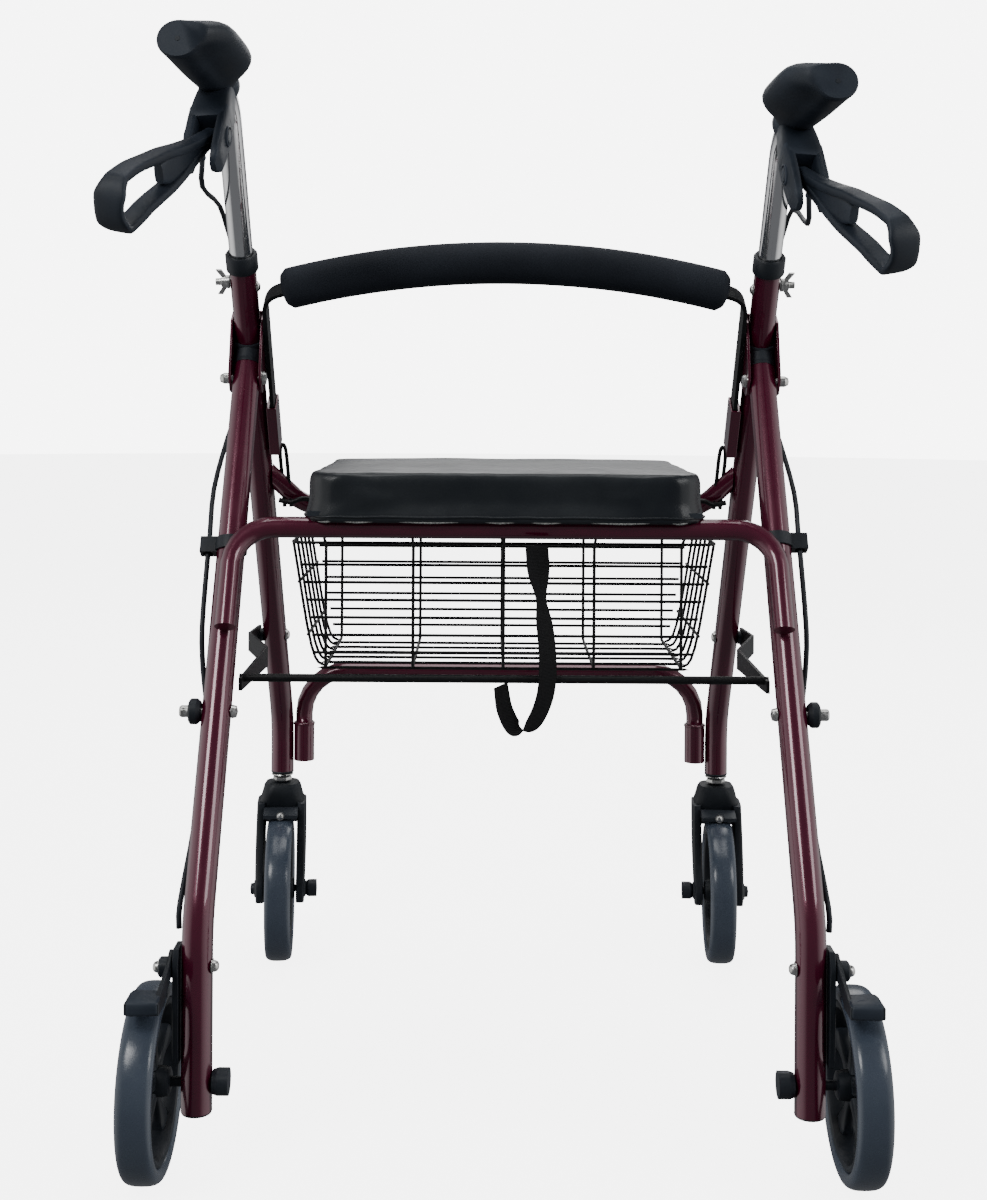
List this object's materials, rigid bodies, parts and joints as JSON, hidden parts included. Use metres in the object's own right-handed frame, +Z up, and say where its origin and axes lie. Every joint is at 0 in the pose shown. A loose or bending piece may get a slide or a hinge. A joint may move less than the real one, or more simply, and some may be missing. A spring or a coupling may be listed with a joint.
{
  "type": "rollator walker",
  "caption": "Folding four-wheel walking frame with padded seat, arched backrest, wire basket, loop brakes and height-adjustable handles.",
  "frame": {"origin": "floor level, at the centre of the footprint", "axes": "+Z up, +Y the way the walker rolls, +X to the user's right; the user stands at -Y"},
  "size_m": [0.6144, 0.6682, 0.917],
  "materials": {
    "burgundy_paint": "glossy metallic burgundy paint",
    "chrome": "polished",
    "zinc_steel": "bright zinc plated",
    "black_plastic": "satin moulded",
    "black_steel": "satin black coated",
    "grip_rubber": "matt soft grip",
    "grey_tyre": "smooth grey-blue, slightly glossy",
    "seat_vinyl": "grained navy-black vinyl",
    "backrest_foam": "matt closed-cell foam",
    "strap_webbing": "woven webbing"
  },
  "bodies": {
    "front_frame": {"front_seat_tube": "burgundy_paint", "front_cross_tube": "burgundy_paint", "front_leg_left": "burgundy_paint", "leg_collar_left": "black_plastic", "hinge_bracket_left": "burgundy_paint", "hinge_bolt_left": "zinc_steel", "backrest_socket_left": "burgundy_paint", "brake_cable_left": "black_plastic", "front_leg_right": "burgundy_paint", "leg_collar_right": "black_plastic", "hinge_bracket_right": "burgundy_paint", "hinge_bolt_right": "zinc_steel", "backrest_socket_right": "burgundy_paint", "brake_cable_right": "black_plastic"},
    "rear_frame": {"rear_seat_tube": "burgundy_paint", "rear_leg_left": "burgundy_paint", "lock_bolt_left": "zinc_steel", "lock_knob_left": "black_plastic", "cable_clip_left": "black_plastic", "brake_bracket_left": "black_plastic", "rear_axle_left": "black_steel", "rear_leg_right": "burgundy_paint", "lock_bolt_right": "zinc_steel", "lock_knob_right": "black_plastic", "cable_clip_right": "black_plastic", "brake_bracket_right": "black_plastic", "rear_axle_right": "black_steel"},
    "brace": {"brace_rod": "black_steel", "pull_strap": "strap_webbing", "brace_arm_left": "black_steel", "brace_arm_right": "black_steel"},
    "seat": {"seat_board": "black_plastic", "seat_pad": "seat_vinyl"},
    "basket": {"basket": "black_steel"},
    "backrest": {"backrest_strip": "black_steel", "backrest_pad": "backrest_foam"},
    "handle_left": {"handle_tube_left": "chrome", "grip_left": "grip_rubber", "brake_housing_left": "black_plastic"},
    "lever_left": {"brake_lever_left": "black_plastic"},
    "wing_left": {"wing_nut_left": "zinc_steel"},
    "shoe_left": {"brake_shoe_left": "black_plastic"},
    "rear_wheel_left": {"rear_tyre_left": "grey_tyre", "rear_rim_left": "black_plastic"},
    "caster_left": {"caster_fork_left": "black_plastic", "front_axle_left": "black_steel"},
    "front_wheel_left": {"front_tyre_left": "grey_tyre", "front_rim_left": "black_plastic"},
    "handle_right": {"handle_tube_right": "chrome", "grip_right": "grip_rubber", "brake_housing_right": "black_plastic"},
    "lever_right": {"brake_lever_right": "black_plastic"},
    "wing_right": {"wing_nut_right": "zinc_steel"},
    "shoe_right": {"brake_shoe_right": "black_plastic"},
    "rear_wheel_right": {"rear_tyre_right": "grey_tyre", "rear_rim_right": "black_plastic"},
    "caster_right": {"caster_fork_right": "black_plastic", "front_axle_right": "black_steel"},
    "front_wheel_right": {"front_tyre_right": "grey_tyre", "front_rim_right": "black_plastic"}
  },
  "joints": [
    {"name": "frame_fold", "type": "hinge", "parent": "front_frame", "child": "rear_frame", "pos_m": [0, 0.0045, 0.638], "axis": [1, 0, 0], "range_deg": [0, 28], "deforming": ["brake_cable_left", "brake_cable_right"]},
    {"name": "basket_tilt", "type": "hinge", "parent": "rear_frame", "child": "basket", "pos_m": [0, -0.0958, 0.506], "axis": [1, 0, 0], "range_deg": [-18, 0]},
    {"name": "brace_lift", "type": "hinge", "parent": "front_frame", "child": "brace", "pos_m": [0, 0.2305, 0.36], "axis": [-1, 0, 0], "range_deg": [0, 8.1], "deforming": ["pull_strap"]},
    {"name": "seat_flip", "type": "hinge", "parent": "front_frame", "child": "seat", "pos_m": [0, 0.1323, 0.507], "axis": [-1, 0, 0], "range_deg": [0, 80]},
    {"name": "backrest_lift", "type": "slide", "parent": "front_frame", "child": "backrest", "axis": [0, -0.5555, 0.8315], "range_m": [0, 0.05]},
    {"name": "handle_slide_left", "type": "slide", "parent": "front_frame", "child": "handle_left", "axis": [0, -0.5555, 0.8315], "range_m": [-0.064, 0.064], "deforming": ["brake_cable_left"]},
    {"name": "handle_slide_right", "type": "slide", "parent": "front_frame", "child": "handle_right", "axis": [0, -0.5555, 0.8315], "range_m": [-0.032, 0.096], "deforming": ["brake_cable_right"]},
    {"name": "lever_squeeze_left", "type": "hinge", "parent": "handle_left", "child": "lever_left", "pos_m": [-0.248, -0.2002, 0.836], "axis": [-0.943, 0.2876, 0.1676], "range_deg": [0, 14], "stiffness_Nm_per_rad": 0.6, "springref_deg": -28.65},
    {"name": "lever_squeeze_right", "type": "hinge", "parent": "handle_right", "child": "lever_right", "pos_m": [0.248, -0.1824, 0.8094], "axis": [-0.943, -0.2876, -0.1676], "range_deg": [0, 14], "stiffness_Nm_per_rad": 0.6, "springref_deg": -28.65},
    {"name": "shoe_swing_left", "type": "hinge", "parent": "rear_frame", "child": "shoe_left", "pos_m": [-0.245, -0.2445, 0.168], "axis": [1, 0, 0], "range_deg": [0, 7]},
    {"name": "shoe_swing_right", "type": "hinge", "parent": "rear_frame", "child": "shoe_right", "pos_m": [0.245, -0.2445, 0.168], "axis": [1, 0, 0], "range_deg": [0, 7]},
    {"name": "wing_turn_left", "type": "hinge", "parent": "front_frame", "child": "wing_left", "pos_m": [-0.245, -0.0156, 0.7285], "axis": [1, 0, 0], "continuous": true},
    {"name": "wing_turn_right", "type": "hinge", "parent": "front_frame", "child": "wing_right", "pos_m": [0.245, -0.0156, 0.7285], "axis": [1, 0, 0], "continuous": true},
    {"name": "rear_wheel_spin_left", "type": "hinge", "parent": "rear_frame", "child": "rear_wheel_left", "pos_m": [-0.2815, -0.2425, 0.076], "axis": [1, 0, 0], "continuous": true},
    {"name": "rear_wheel_spin_right", "type": "hinge", "parent": "rear_frame", "child": "rear_wheel_right", "pos_m": [0.2815, -0.2425, 0.076], "axis": [1, 0, 0], "continuous": true},
    {"name": "caster_swivel_left", "type": "hinge", "parent": "front_frame", "child": "caster_left", "pos_m": [-0.245, 0.3025, 0], "axis": [0, 0, 1], "continuous": true},
    {"name": "front_wheel_spin_left", "type": "hinge", "parent": "caster_left", "child": "front_wheel_left", "pos_m": [-0.2415, 0.2576, 0.076], "axis": [-0.9969, -0.0785, 0], "continuous": true},
    {"name": "caster_swivel_right", "type": "hinge", "parent": "front_frame", "child": "caster_right", "pos_m": [0.245, 0.3025, 0], "axis": [0, 0, 1], "continuous": true},
    {"name": "front_wheel_spin_right", "type": "hinge", "parent": "caster_right", "child": "front_wheel_right", "pos_m": [0.2424, 0.2576, 0.076], "axis": [0.9983, -0.0576, 0], "continuous": true}
  ],
  "couplings": [
    {"joint": "basket_tilt", "follows": "frame_fold", "ratio": -0.62},
    {"joint": "brace_lift", "follows": "frame_fold", "ratio": 0.286},
    {"joint": "shoe_swing_left", "follows": "lever_squeeze_left", "ratio": 0.5},
    {"joint": "shoe_swing_right", "follows": "lever_squeeze_right", "ratio": 0.5}
  ]
}
